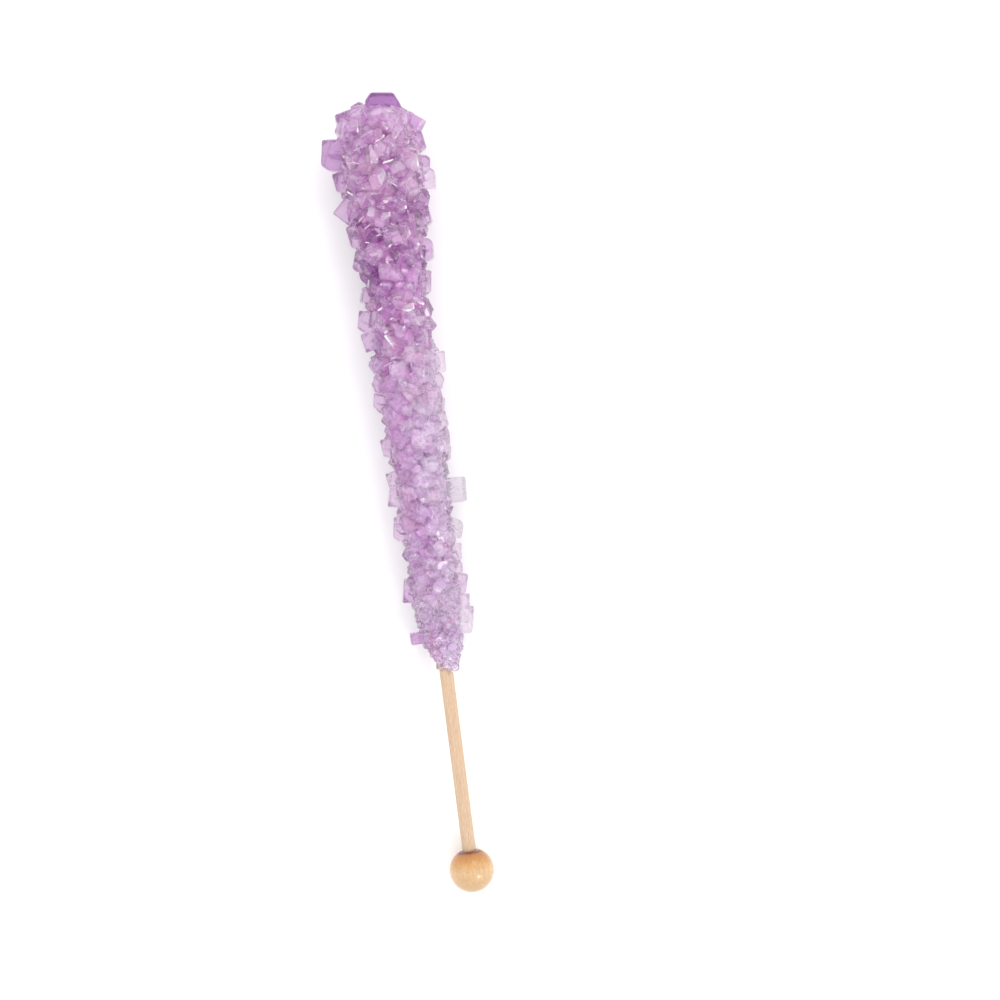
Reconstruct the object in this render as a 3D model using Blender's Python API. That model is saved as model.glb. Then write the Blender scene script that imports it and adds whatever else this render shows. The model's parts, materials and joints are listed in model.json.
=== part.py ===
"""Rock candy grown on a wooden dowel, with a wooden ball for a handle, lying on its side.

The stick is built along its own Y axis with the candy's tip at the origin, so that a place along it is a
distance from the tip. An empty then lays it down: the ball and the thick end of the candy touch the table.
"""

import math
import random

import bmesh
import bpy
from mathutils import Euler, Matrix, Vector

# The whole stick, in metres.
STICK_LENGTH = 0.1776
DOWEL_RADIUS = 0.0015
DOWEL_CHAMFER = 0.0003
BALL_RADIUS = 0.0049
CANDY_LENGTH = 0.1288
TIP_COVER = 0.009
FIT_GAP = 0.0003

# The ball's hole, and the flat that is turned round its mouth.
HOLE_DEPTH = 0.0062
MOUTH_RADIUS = 0.0022

# How finely the round shapes are divided, and what is merged or kept sharp.
DOWEL_SIDES = 20
BALL_SIDES = 28
BALL_RINGS = 12
SHARP_EDGE = math.radians(30.0)
MERGE_DISTANCE = 1e-7

# What the cutters have to spare: the bore's past the candy's end, and the width of the table's block.
BORE_OVERRUN = 0.01
TABLE_BLOCK = 0.6

# How far the axis is above the table, at the ball and at the candy's thick end.
THICK_END = 0.0150
AXIS_HEIGHT_AT_BALL = 0.00484
AXIS_HEIGHT_AT_THICK_END = 0.0098

# The candy's radius (second) at a distance from its tip (first), without the crystals that stand out of it.
CANDY_PROFILE = (
    (0.0016, 0.0000),
    (0.0022, 0.0044),
    (0.0050, 0.0076),
    (0.0090, 0.0092),
    (0.0160, 0.0096),
    (0.0240, 0.0091),
    (0.0340, 0.0080),
    (0.0440, 0.0072),
    (0.0600, 0.0073),
    (0.0800, 0.0067),
    (0.0960, 0.0062),
    (0.1120, 0.0056),
    (0.1210, 0.0047),
    (0.1288, 0.0022),
)
CORE_DEPTH = 0.0015
CORE_RINGS = 14
CORE_SIDES = 10

# Crystals of the crust: their spacing and their length, at the tip and at the lower end.
CRUST_SPACING = (0.0059, 0.0043)
CRUST_LENGTH = (0.0062, 0.0041)
LENGTH_SPREAD = (0.80, 1.15)
WIDTH_SHARE = (0.60, 0.85)
CRUST_RISE = (-0.0005, 0.0007)
CRUST_TILT = math.radians(34.0)
TIGHTEST_TURN = 0.0015
GOLDEN_ANGLE = math.radians(137.508)
SEED = 11

# How sugar blocks are bevelled. Each cut faces a direction (across the stick, along it to the tip, outward)
# and keeps a share of the block's reach that way.
HABITS = {
    "block": ((1.0, 0.2, 0.9, 0.84),),
    "roof": ((0.1, 1.0, 1.0, 0.76), (0.0, -1.0, 0.9, 0.84)),
    "spear": ((0.1, -1.0, 0.8, 0.62), (1.0, 0.0, 0.6, 0.80)),
    "chisel": ((0.2, 1.0, 0.8, 0.66), (-1.0, 0.1, 0.5, 0.82)),
    "clipped": ((1.0, 1.0, 0.9, 0.72), (-0.9, -1.0, 0.8, 0.80)),
    "gem": ((1.0, 0.3, 0.9, 0.70), (-0.8, 0.9, 0.8, 0.74), (0.0, -1.0, 0.7, 0.80)),
    "slab": ((-1.0, 1.0, 0.1, 0.76), (1.0, -0.2, 1.0, 0.78)),
}
LEAN_OF_SUGAR = math.radians(9.0)
STANDING_SWING = math.radians(9.0)
RESTING_SPIN = math.radians(30.0)
ALONG_THE_STICK = 0.99
MM = 0.001

# Crystals that stand out, each with its bevel: distance from the tip, angle round the stick (0 up, 90 to the
# right), distance of the outermost point from the axis, then size along the stick, across it and outward,
# and the lean towards the handle. All in millimetres and degrees.
STANDING_CRYSTALS = (
    ("spear", 6.0, 84, 11.3, 3.6, 4.0, 9.0, 26),
    ("gem", 6.2, -84, 8.9, 6.5, 6.0, 7.0, 12),
    ("chisel", 11.6, 86, 10.5, 4.6, 5.0, 6.0, -10),
    ("clipped", 12.4, -92, 12.9, 6.6, 5.4, 6.5, -6),
    ("roof", 16.2, 100, 10.8, 3.6, 4.0, 5.0, 10),
    ("chisel", 19.6, 84, 11.6, 4.8, 4.0, 6.0, 6),
    ("gem", 18.3, -88, 11.0, 4.8, 4.5, 5.4, 10),
    ("block", 24.4, -90, 11.7, 4.6, 4.4, 6.0, 45),
    ("roof", 24.0, 92, 9.8, 3.6, 4.0, 5.0, 20),
    ("gem", 28.2, 80, 9.7, 4.4, 4.0, 5.5, -6),
    ("gem", 30.6, -84, 9.6, 5.4, 4.6, 5.0, 10),
    ("roof", 35.2, 90, 9.2, 5.0, 4.0, 5.0, 6),
    ("gem", 36.4, -96, 9.0, 4.6, 4.4, 5.0, -14),
    ("gem", 42.4, 84, 8.0, 5.6, 4.2, 5.0, 8),
    ("chisel", 43.8, -84, 8.5, 3.8, 4.0, 5.0, -16),
    ("spear", 49.6, -90, 9.7, 4.8, 4.2, 6.0, -10),
    ("clipped", 53.6, -94, 9.5, 4.2, 4.0, 5.4, 10),
    ("block", 60.0, 88, 8.7, 4.6, 4.2, 5.4, 3),
    ("chisel", 58.8, -82, 8.4, 3.4, 3.8, 4.8, 30),
    ("roof", 63.2, -94, 8.3, 3.4, 3.6, 4.6, 18),
    ("chisel", 63.8, 94, 7.8, 3.2, 3.6, 4.4, 20),
    ("spear", 67.8, -86, 8.5, 4.6, 4.0, 5.0, -10),
    ("block", 69.2, 82, 7.3, 3.0, 3.4, 4.0, 12),
    ("gem", 73.0, 90, 7.5, 4.2, 3.8, 4.6, -10),
    ("gem", 77.4, -90, 8.0, 4.4, 3.6, 5.0, 8),
    ("roof", 79.6, 86, 7.3, 4.4, 3.6, 4.6, 12),
    ("block", 88.4, 90, 9.6, 5.4, 4.6, 6.0, 4),
    ("gem", 84.6, -88, 7.8, 4.0, 3.8, 5.0, 10),
    ("clipped", 88.6, -92, 8.0, 4.6, 4.0, 5.2, -12),
    ("gem", 95.8, -92, 7.9, 5.4, 3.6, 5.0, -8),
    ("chisel", 96.6, 86, 7.9, 4.2, 3.4, 4.8, 18),
    ("block", 101.8, 92, 6.9, 3.4, 3.4, 4.4, 6),
    ("roof", 105.4, 84, 6.5, 3.0, 3.2, 4.0, 6),
    ("gem", 109.0, 88, 7.5, 4.8, 3.6, 5.0, 16),
    ("clipped", 109.6, -90, 7.5, 5.2, 4.0, 5.0, -10),
    ("gem", 112.8, 84, 7.3, 3.0, 3.0, 4.4, 10),
    ("clipped", 117.0, 90, 7.9, 6.0, 4.4, 5.4, 10),
    ("block", 120.0, -90, 7.0, 2.6, 2.6, 4.6, 0),
)

# Crystals of the tip: place to the right of the axis and above it, depth of the far end below the tip,
# then size across, up and along the stick, and the lean to the right.
TIP_CRYSTALS = (
    ("roof", 2.2, 1.2, 0.0, 7.2, 6.0, 7.0, 7),
    ("gem", -2.8, 2.6, 2.2, 5.0, 5.0, 6.0, -16),
    ("clipped", 1.8, -4.4, 2.2, 5.4, 5.0, 6.0, 10),
    ("gem", -3.6, -3.2, 2.8, 5.0, 4.6, 6.0, -22),
    ("chisel", 5.0, 3.8, 3.2, 4.6, 4.4, 6.0, 28),
)

# Crystals under the thick end, whose flat ends lie on the table: place to the right of the axis, distance
# from the tip, distance of the flat end below the axis, then size across, along the stick and up.
RESTING_CRYSTALS = (
    (3.3, 10.5, 10.2, 5.2, 4.6, 6.0),
    (-3.4, 17.0, 10.0, 5.0, 5.0, 6.0),
    (0.9, 26.0, 9.7, 5.0, 4.4, 6.0),
)

CANDY_COLOUR = (0.55, 0.34, 0.58, 1.0)
DOWEL_COLOUR = (0.86, 0.66, 0.47, 1.0)
BALL_COLOUR = (0.75, 0.45, 0.20, 1.0)


def clear_scene():
    for item in list(bpy.data.objects):
        bpy.data.objects.remove(item)


def plain_material(name, colour, roughness):
    material = bpy.data.materials.new(name)
    material.use_nodes = True
    shader = material.node_tree.nodes["Principled BSDF"]
    shader.inputs["Base Color"].default_value = colour
    shader.inputs["Roughness"].default_value = roughness
    shader.inputs["Metallic"].default_value = 0.0
    return material


def add_object(name, mesh, parent=None, material=None):
    item = bpy.data.objects.new(name, mesh)
    bpy.context.scene.collection.objects.link(item)
    item.parent = parent
    if material:
        mesh.materials.append(material)
    return item


def mesh_from(shape, name):
    mesh = bpy.data.meshes.new(name)
    shape.to_mesh(mesh)
    shape.free()
    return mesh


def turned_mesh(name, profile, sides):
    """A closed shape turned about the Y axis; the profile's (distance, radius) points run towards -Y."""
    shape = bmesh.new()
    points = [shape.verts.new((radius, -distance, 0.0)) for distance, radius in profile]
    edges = [shape.edges.new(pair) for pair in zip(points, points[1:])]
    bmesh.ops.spin(
        shape,
        geom=points + edges,
        cent=(0.0, 0.0, 0.0),
        axis=(0.0, 1.0, 0.0),
        angle=math.tau,
        steps=sides,
        use_merge=True,
    )
    bmesh.ops.remove_doubles(shape, verts=shape.verts, dist=MERGE_DISTANCE)
    bmesh.ops.dissolve_degenerate(shape, dist=MERGE_DISTANCE, edges=shape.edges)
    bmesh.ops.recalc_face_normals(shape, faces=shape.faces)
    return mesh_from(shape, name)


def hide_helper(item):
    item.hide_render = True
    item.display_type = "WIRE"


def cut_away(item, cutter, name):
    cut = item.modifiers.new(name, "BOOLEAN")
    cut.operation = "DIFFERENCE"
    cut.solver = "EXACT"
    cut.object = cutter


def profile_at(distance):
    """The candy's radius at a distance from its tip, and the angle by which its surface faces the tip."""
    for (near, near_radius), (far, far_radius) in zip(CANDY_PROFILE, CANDY_PROFILE[1:]):
        if distance <= far:
            break
    share = (distance - near) / (far - near)
    radius = near_radius + share * (far_radius - near_radius)
    return radius, math.atan2(far_radius - near_radius, far - near)


def crystal_shape(habit, across, along, outward):
    """One sugar crystal, standing on Z: a block that leans as sugar does, with the bevels of its habit."""
    shape = bmesh.new()
    bmesh.ops.create_cube(shape, size=1.0)
    for direction_x, direction_y, direction_z, share in HABITS[habit]:
        normal = Vector((direction_x, direction_y, direction_z)).normalized()
        reach = max(point.co.dot(normal) for point in shape.verts)
        cut = bmesh.ops.bisect_plane(
            shape,
            geom=shape.verts[:] + shape.edges[:] + shape.faces[:],
            plane_co=normal * reach * share,
            plane_no=normal,
            clear_outer=True,
        )
        rim = [piece for piece in cut["geom_cut"] if isinstance(piece, bmesh.types.BMEdge)]
        bmesh.ops.holes_fill(shape, edges=rim)
    for point in shape.verts:
        point.co = (point.co.x * across, point.co.y * along, point.co.z * outward)
        point.co.x += point.co.z * math.tan(LEAN_OF_SUGAR)
    return shape


def place_crystal(shape, foot, outward, reach, turn):
    """Turns a crystal, then moves it outward until its far end is at the reach from the foot."""
    bmesh.ops.transform(shape, matrix=turn.to_4x4(), verts=shape.verts)
    far_end = max(point.co.dot(outward) for point in shape.verts)
    bmesh.ops.translate(shape, verts=shape.verts, vec=foot + outward * (reach - far_end))


def standing_on(outward, tilt, swing, spin):
    """The turn that stands a crystal's long way on the outward line, then leans it."""
    along_stick = Vector((0.0, 1.0, 0.0))
    if abs(outward.y) > ALONG_THE_STICK:
        along_stick = Vector((0.0, 0.0, 1.0))
    side = along_stick.cross(outward).normalized()
    frame = Matrix((side, outward.cross(side), outward)).transposed()
    return frame @ Euler((tilt, swing, spin)).to_matrix()


def add_to(cluster, shape):
    """Copies one crystal into the cluster's mesh."""
    copies = [cluster.verts.new(point.co) for point in shape.verts]
    shape.verts.index_update()
    for face in shape.faces:
        cluster.faces.new([copies[point.index] for point in face.verts])
    shape.free()


def grow_crust(cluster, draw):
    """Crystals all round, a golden angle apart, finer towards the lower end."""
    distance = CANDY_PROFILE[0][0]
    around = 0.0
    while distance < CANDY_LENGTH - CRUST_LENGTH[1] / 2:
        share = distance / CANDY_LENGTH
        spacing = CRUST_SPACING[0] + share * (CRUST_SPACING[1] - CRUST_SPACING[0])
        length = CRUST_LENGTH[0] + share * (CRUST_LENGTH[1] - CRUST_LENGTH[0])
        length *= draw.uniform(*LENGTH_SPREAD)
        habit = draw.choice(tuple(HABITS))
        across = length * draw.uniform(*WIDTH_SHARE)
        along = length * draw.uniform(*WIDTH_SHARE)
        shape = crystal_shape(habit, across, along, length)
        radius, facing = profile_at(distance)
        round_stick = Vector((math.sin(around), 0.0, math.cos(around)))
        outward = round_stick * math.cos(facing) + Vector((0.0, math.sin(facing), 0.0))
        turn = standing_on(
            outward,
            draw.uniform(-CRUST_TILT, CRUST_TILT),
            draw.uniform(-CRUST_TILT, CRUST_TILT),
            draw.uniform(0.0, math.tau),
        )
        foot = round_stick * radius - Vector((0.0, distance, 0.0))
        place_crystal(shape, foot, outward, draw.uniform(*CRUST_RISE), turn)
        add_to(cluster, shape)
        distance += spacing**2 * math.cos(facing) / (math.tau * max(radius, TIGHTEST_TURN))
        around += GOLDEN_ANGLE


def grow_standing(cluster, draw):
    """The larger crystals: those of the outline, of the tip, and those that the stick rests on."""
    for habit, distance, around, reach, along, across, length, lean in STANDING_CRYSTALS:
        shape = crystal_shape(habit, across * MM, along * MM, length * MM)
        angle = math.radians(around)
        outward = Vector((math.sin(angle), 0.0, math.cos(angle)))
        turn = standing_on(outward, math.radians(lean), draw.uniform(-STANDING_SWING, STANDING_SWING), 0.0)
        place_crystal(shape, Vector((0.0, -distance * MM, 0.0)), outward, reach * MM, turn)
        add_to(cluster, shape)
    to_tip = Vector((0.0, 1.0, 0.0))
    for habit, side, height, below, across, up, length, lean in TIP_CRYSTALS:
        shape = crystal_shape(habit, up * MM, across * MM, length * MM)
        turn = standing_on(to_tip, math.radians(lean), draw.uniform(-STANDING_SWING, STANDING_SWING), 0.0)
        foot = Vector((side * MM, 0.0, height * MM))
        place_crystal(shape, foot, to_tip, -below * MM, turn)
        add_to(cluster, shape)
    to_table = Vector((0.0, 0.0, -1.0))
    for side, distance, reach, across, along, length in RESTING_CRYSTALS:
        shape = crystal_shape("block", across * MM, along * MM, length * MM)
        turn = standing_on(to_table, 0.0, 0.0, draw.uniform(-RESTING_SPIN, RESTING_SPIN))
        foot = Vector((side * MM, -distance * MM, 0.0))
        place_crystal(shape, foot, to_table, reach * MM, turn)
        add_to(cluster, shape)


def outer_shell(mesh):
    """Keeps a mesh's one outer shell, and drops the small hollows that crystals close off between them."""
    shape = bmesh.new()
    shape.from_mesh(mesh)
    unseen = set(shape.verts)
    shells = []
    while unseen:
        edge_of_search = [unseen.pop()]
        shell = set(edge_of_search)
        while edge_of_search:
            for edge in edge_of_search.pop().link_edges:
                for point in edge.verts:
                    if point in unseen:
                        unseen.discard(point)
                        shell.add(point)
                        edge_of_search.append(point)
        shells.append(shell)
    shells.sort(key=len)
    spare = [point for shell in shells[:-1] for point in shell]
    bmesh.ops.delete(shape, geom=spare, context="VERTS")
    shape.to_mesh(mesh)
    shape.free()


def grown_candy_mesh():
    """The crystals and the core they grow from, joined into one body."""
    draw = random.Random(SEED)
    core_top = CANDY_PROFILE[0][0] + CORE_DEPTH
    profile = [(core_top, 0.0)]
    for ring in range(CORE_RINGS):
        distance = core_top + (CANDY_LENGTH - core_top) * ring / (CORE_RINGS - 1)
        radius = max(profile_at(distance)[0] - CORE_DEPTH, DOWEL_RADIUS + 2 * FIT_GAP)
        profile.append((distance, radius))
    profile.append((CANDY_LENGTH, 0.0))
    core = add_object("core", turned_mesh("core", profile, CORE_SIDES))
    crystals = bmesh.new()
    grow_standing(crystals, draw)
    grow_crust(crystals, draw)
    bmesh.ops.recalc_face_normals(crystals, faces=crystals.faces)
    cluster = add_object("cluster", mesh_from(crystals, "cluster"))
    union = core.modifiers.new("crystals", "BOOLEAN")
    union.operation = "UNION"
    union.solver = "EXACT"
    union.use_self = True
    union.object = cluster
    graph = bpy.context.evaluated_depsgraph_get()
    joined = bpy.data.meshes.new_from_object(core.evaluated_get(graph))
    joined.name = "rock_candy"
    for helper in (core, cluster):
        bpy.data.objects.remove(helper)
    outer_shell(joined)
    return joined


def centre_over_origin(stick, nodes):
    """Slides the stick along the table until the middle of its box is over the origin."""
    graph = bpy.context.evaluated_depsgraph_get()
    points = []
    for node in nodes:
        solid = node.evaluated_get(graph)
        points += [solid.matrix_world @ point.co for point in solid.data.vertices]
    for axis in (0, 1):
        reach = [point[axis] for point in points]
        stick.location[axis] -= (min(reach) + max(reach)) / 2


def build_stick():
    clear_scene()
    candy_finish = plain_material("lavender rock sugar", CANDY_COLOUR, 0.15)
    dowel_finish = plain_material("bare birch", DOWEL_COLOUR, 0.6)
    ball_finish = plain_material("varnished birch", BALL_COLOUR, 0.25)

    ball_centre = STICK_LENGTH - BALL_RADIUS
    rise = AXIS_HEIGHT_AT_THICK_END - AXIS_HEIGHT_AT_BALL
    slope = math.asin(rise / (ball_centre - THICK_END))
    stick = bpy.data.objects.new("stick", None)
    bpy.context.scene.collection.objects.link(stick)
    stick.rotation_euler = (slope, 0.0, 0.0)
    stick.location = (0.0, 0.0, AXIS_HEIGHT_AT_BALL + ball_centre * math.sin(slope))

    mouth = ball_centre - math.sqrt(BALL_RADIUS**2 - MOUTH_RADIUS**2)
    hole_end = mouth + HOLE_DEPTH
    dowel_end = hole_end - FIT_GAP
    dowel_profile = (
        (TIP_COVER, 0.0),
        (TIP_COVER, DOWEL_RADIUS - DOWEL_CHAMFER),
        (TIP_COVER + DOWEL_CHAMFER, DOWEL_RADIUS),
        (dowel_end - DOWEL_CHAMFER, DOWEL_RADIUS),
        (dowel_end, DOWEL_RADIUS - DOWEL_CHAMFER),
        (dowel_end, 0.0),
    )
    dowel_mesh = turned_mesh("dowel", dowel_profile, DOWEL_SIDES)
    dowel = add_object("wooden_dowel", dowel_mesh, stick, dowel_finish)

    ball_profile = [(hole_end, 0.0), (hole_end, DOWEL_RADIUS + FIT_GAP), (mouth, DOWEL_RADIUS + FIT_GAP)]
    start = math.asin(MOUTH_RADIUS / BALL_RADIUS)
    for ring in range(BALL_RINGS + 1):
        angle = start + (math.pi - start) * ring / BALL_RINGS
        ball_profile.append((ball_centre - BALL_RADIUS * math.cos(angle), BALL_RADIUS * math.sin(angle)))
    ball = add_object("wooden_ball", turned_mesh("ball", ball_profile, BALL_SIDES), stick, ball_finish)

    candy = add_object("rock_candy", grown_candy_mesh(), stick, candy_finish)

    bore_end = TIP_COVER - FIT_GAP
    bore_profile = (
        (bore_end, 0.0),
        (bore_end, DOWEL_RADIUS + FIT_GAP),
        (CANDY_LENGTH + BORE_OVERRUN, DOWEL_RADIUS + FIT_GAP),
        (CANDY_LENGTH + BORE_OVERRUN, 0.0),
    )
    bore = add_object("dowel_bore", turned_mesh("bore", bore_profile, DOWEL_SIDES), stick)
    hide_helper(bore)
    cut_away(candy, bore, "bore")

    below = bmesh.new()
    middle = Matrix.Translation((0.0, 0.0, -TABLE_BLOCK / 2))
    bmesh.ops.create_cube(below, size=TABLE_BLOCK, matrix=middle)
    table = add_object("table_plane", mesh_from(below, "table"))
    hide_helper(table)
    for item in (candy, ball):
        cut_away(item, table, "rests flat")
    for item in (dowel, ball):
        item.data.shade_smooth()
        item.data.set_sharp_from_angle(angle=SHARP_EDGE)
    centre_over_origin(stick, (candy, dowel, ball))


build_stick()
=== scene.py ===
# Rock candy stick: lavender sugar crystals on a birch dowel with a varnished ball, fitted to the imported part.
import json
import math
import random

import bpy
from mathutils import Euler, Matrix, Vector

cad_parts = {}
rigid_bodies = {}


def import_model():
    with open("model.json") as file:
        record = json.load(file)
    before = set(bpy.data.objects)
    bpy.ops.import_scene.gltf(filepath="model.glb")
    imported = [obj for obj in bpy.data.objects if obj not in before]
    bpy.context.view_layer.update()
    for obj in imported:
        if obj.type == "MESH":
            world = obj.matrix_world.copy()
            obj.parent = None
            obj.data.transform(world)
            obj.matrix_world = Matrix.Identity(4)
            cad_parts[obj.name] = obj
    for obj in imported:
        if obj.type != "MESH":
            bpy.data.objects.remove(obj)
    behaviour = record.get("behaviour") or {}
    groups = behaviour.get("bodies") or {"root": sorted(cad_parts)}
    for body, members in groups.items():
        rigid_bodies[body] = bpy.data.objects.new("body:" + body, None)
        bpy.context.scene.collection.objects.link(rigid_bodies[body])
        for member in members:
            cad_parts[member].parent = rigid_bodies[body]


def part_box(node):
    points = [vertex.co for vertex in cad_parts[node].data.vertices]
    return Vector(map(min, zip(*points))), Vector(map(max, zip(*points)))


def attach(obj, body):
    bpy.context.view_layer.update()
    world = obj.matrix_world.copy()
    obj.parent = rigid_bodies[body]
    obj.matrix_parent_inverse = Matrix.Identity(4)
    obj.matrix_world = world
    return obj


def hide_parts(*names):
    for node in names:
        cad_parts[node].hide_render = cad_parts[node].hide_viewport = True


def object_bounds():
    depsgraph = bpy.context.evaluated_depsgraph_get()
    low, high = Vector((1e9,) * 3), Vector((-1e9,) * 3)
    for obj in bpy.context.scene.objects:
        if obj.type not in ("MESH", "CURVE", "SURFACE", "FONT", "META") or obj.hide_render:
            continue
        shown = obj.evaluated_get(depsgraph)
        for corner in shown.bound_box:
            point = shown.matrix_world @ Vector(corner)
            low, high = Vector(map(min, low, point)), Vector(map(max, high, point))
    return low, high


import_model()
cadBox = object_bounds()
mm = 0.001
samePlace = 0.001 * mm  # points nearer than this to a cut are on it


def deselectAll():
    if bpy.context.mode != "OBJECT":
        bpy.ops.object.mode_set(mode="OBJECT")
    bpy.ops.object.select_all(action="DESELECT")


def pick(*pieces):
    deselectAll()
    for piece in pieces:
        piece.select_set(True)
    bpy.context.view_layer.objects.active = pieces[0]


def settle(piece):
    # the place goes into the mesh, and the object stays at the origin
    pick(piece)
    bpy.ops.object.transform_apply(location=True, rotation=True, scale=True)


def cutAtTable(piece):
    # what dips under the table's plane is cut off flat
    pick(piece)
    bpy.ops.object.mode_set(mode="EDIT")
    bpy.ops.mesh.select_all(action="SELECT")
    table = (0.0, 0.0, 0.0)
    bpy.ops.mesh.bisect(
        plane_co=table, plane_no=(0.0, 0.0, -1.0), use_fill=True, clear_outer=True, threshold=samePlace
    )
    bpy.ops.object.mode_set(mode="OBJECT")


def finishPiece(piece, node, material):
    piece.data.materials.clear()
    piece.data.materials.append(material)
    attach(piece, "root")
    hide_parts(node)


def colourOf(code, alpha=1.0):
    # an sRGB hex code as the linear colour that a shader takes
    channels = [int(code[i : i + 2], 16) / 255 for i in (1, 3, 5)]
    linear = [c / 12.92 if c <= 0.04045 else ((c + 0.055) / 1.055) ** 2.4 for c in channels]
    return (*linear, alpha)


def addNode(tree, kind, settings=None, inputs=None):
    # one node with its settings, and its inputs given as values or as the sockets they come from
    node = tree.nodes.new(kind)
    for name, value in (settings or {}).items():
        setattr(node, name, value)
    for name, value in (inputs or {}).items():
        if isinstance(value, bpy.types.NodeSocket):
            tree.links.new(value, node.inputs[name])
        else:
            node.inputs[name].default_value = value
    return node


def setRamp(node, stops):
    ramp = node.color_ramp
    while len(ramp.elements) < len(stops):
        ramp.elements.new(0.5)
    for element, (place, colour) in zip(ramp.elements, stops):
        element.position = place
        element.color = colourOf(colour) if isinstance(colour, str) else (colour, colour, colour, 1.0)


def shaded(tree, colour, shade):
    # one colour multiplied by another: 6 and 7 are a mix node's colour inputs, and 2 is its colour output
    settings = {"data_type": "RGBA", "blend_type": "MULTIPLY"}
    return addNode(tree, "ShaderNodeMix", settings, {0: 1.0, 6: colour, 7: shade}).outputs[2]


def newMaterial(name):
    material = bpy.data.materials.new(name)
    material.use_nodes = True
    return material, material.node_tree, material.node_tree.nodes["Principled BSDF"]


# the stick's line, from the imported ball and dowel
ballLow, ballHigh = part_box("wooden_ball")
dowelLow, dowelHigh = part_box("wooden_dowel")
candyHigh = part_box("rock_candy")[1]
ballRadius = (ballHigh.x - ballLow.x) / 2
dowelRadius = (dowelHigh.x - dowelLow.x) / 2
ballCentre = Vector((ballLow.x + ballRadius, ballLow.y + ballRadius, ballHigh.z - ballRadius))
dowelTip = Vector((ballCentre.x, dowelHigh.y, dowelHigh.z - dowelRadius))
alongStick = (dowelTip - ballCentre).normalized()
candyTip = ballCentre + alongStick * ((candyHigh.y - ballCentre.y) / alongStick.y)
acrossStick = Vector((1.0, 0.0, 0.0))
turnOfStick = Matrix((acrossStick, alongStick, acrossStick.cross(alongStick))).transposed()
# the candy's tip as origin, X to the right, Y on along the stick and away from the handle
stickPlace = Matrix.Translation(candyTip) @ turnOfStick.to_4x4()
# the ball's centre as origin, Z along the stick
ballPlace = Matrix.Translation(ballCentre) @ alongStick.to_track_quat("Z", "Y").to_matrix().to_4x4()
dowelMiddle = alongStick.dot((Vector(dowelLow) + Vector(dowelHigh)) / 2 - ballCentre)
print("stick line from", [round(v / mm, 1) for v in candyTip], "to", [round(v / mm, 1) for v in ballCentre])

# Sugar crystals. The candy's length and radius are in millimetres, as are all crystal sizes below.
candy = {
    "seed": 11,
    "length": 128.8,
    # radius (second) at a distance from the tip (first)
    "profile": (
        (1.6, 0.0), (2.2, 4.4), (5.0, 7.6), (9.0, 9.2), (16.0, 9.6), (24.0, 9.1), (34.0, 8.0),
        (44.0, 7.2), (60.0, 7.3), (80.0, 6.7), (96.0, 6.2), (112.0, 5.6), (121.0, 4.5), (128.8, 1.9),
    ),
    "aside": ((-9.0, 0.0), (117.0, 0.0), (124.0, 0.5), (128.8, 0.7)),  # how far the low end sits to the right
    "goldenAngle": math.radians(137.508),
    "lean": math.radians(9.0),  # a sugar block leans, as its unit cell does
    "swing": math.radians(9.0),
    "restingSpin": math.radians(30.0),
    "restingTone": 0.2,  # how far a resting crystal's tone strays
    "wornEdge": 0.045,  # share of a crystal's width
    "faceTone": 0.08,  # how unlike the tones of one crystal's faces are
    "faceTurn": (7.0, 9.0),  # how those tones change from face to face and with the reach
    "leastRadius": 1.5,  # for the spacing of the crystals near the tip
    # smaller crystals on a standing one: habit, share of its size, share of its reach, turn and shift of tone
    "twins": (("gem", 0.76, 0.92, 0.7, -0.2), ("slab", 0.60, 0.80, 2.6, 0.1)),
}

# how each habit is cut from a block: which way a cut faces (across, along, outward) and the share it keeps
habits = {
    "block": ((1.0, 0.2, 0.9, 0.84),),
    "roof": ((0.1, 1.0, 1.0, 0.76), (0.0, -1.0, 0.9, 0.84)),
    "spear": ((0.1, -1.0, 0.8, 0.62), (1.0, 0.0, 0.6, 0.80)),
    "chisel": ((0.2, 1.0, 0.8, 0.66), (-1.0, 0.1, 0.5, 0.82)),
    "clipped": ((1.0, 1.0, 0.9, 0.72), (-0.9, -1.0, 0.8, 0.80)),
    "gem": ((1.0, 0.3, 0.9, 0.70), (-0.8, 0.9, 0.8, 0.74), (0.0, -1.0, 0.7, 0.80)),
    "slab": ((-1.0, 1.0, 0.1, 0.76), (1.0, -0.2, 1.0, 0.78)),
    "crown": ((-1.0, 0.0, 0.39, 0.774), (1.0, 0.0, 0.73, 0.773)),
}
crustHabits = ("block", "roof", "spear", "chisel", "clipped", "gem", "slab")

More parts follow.
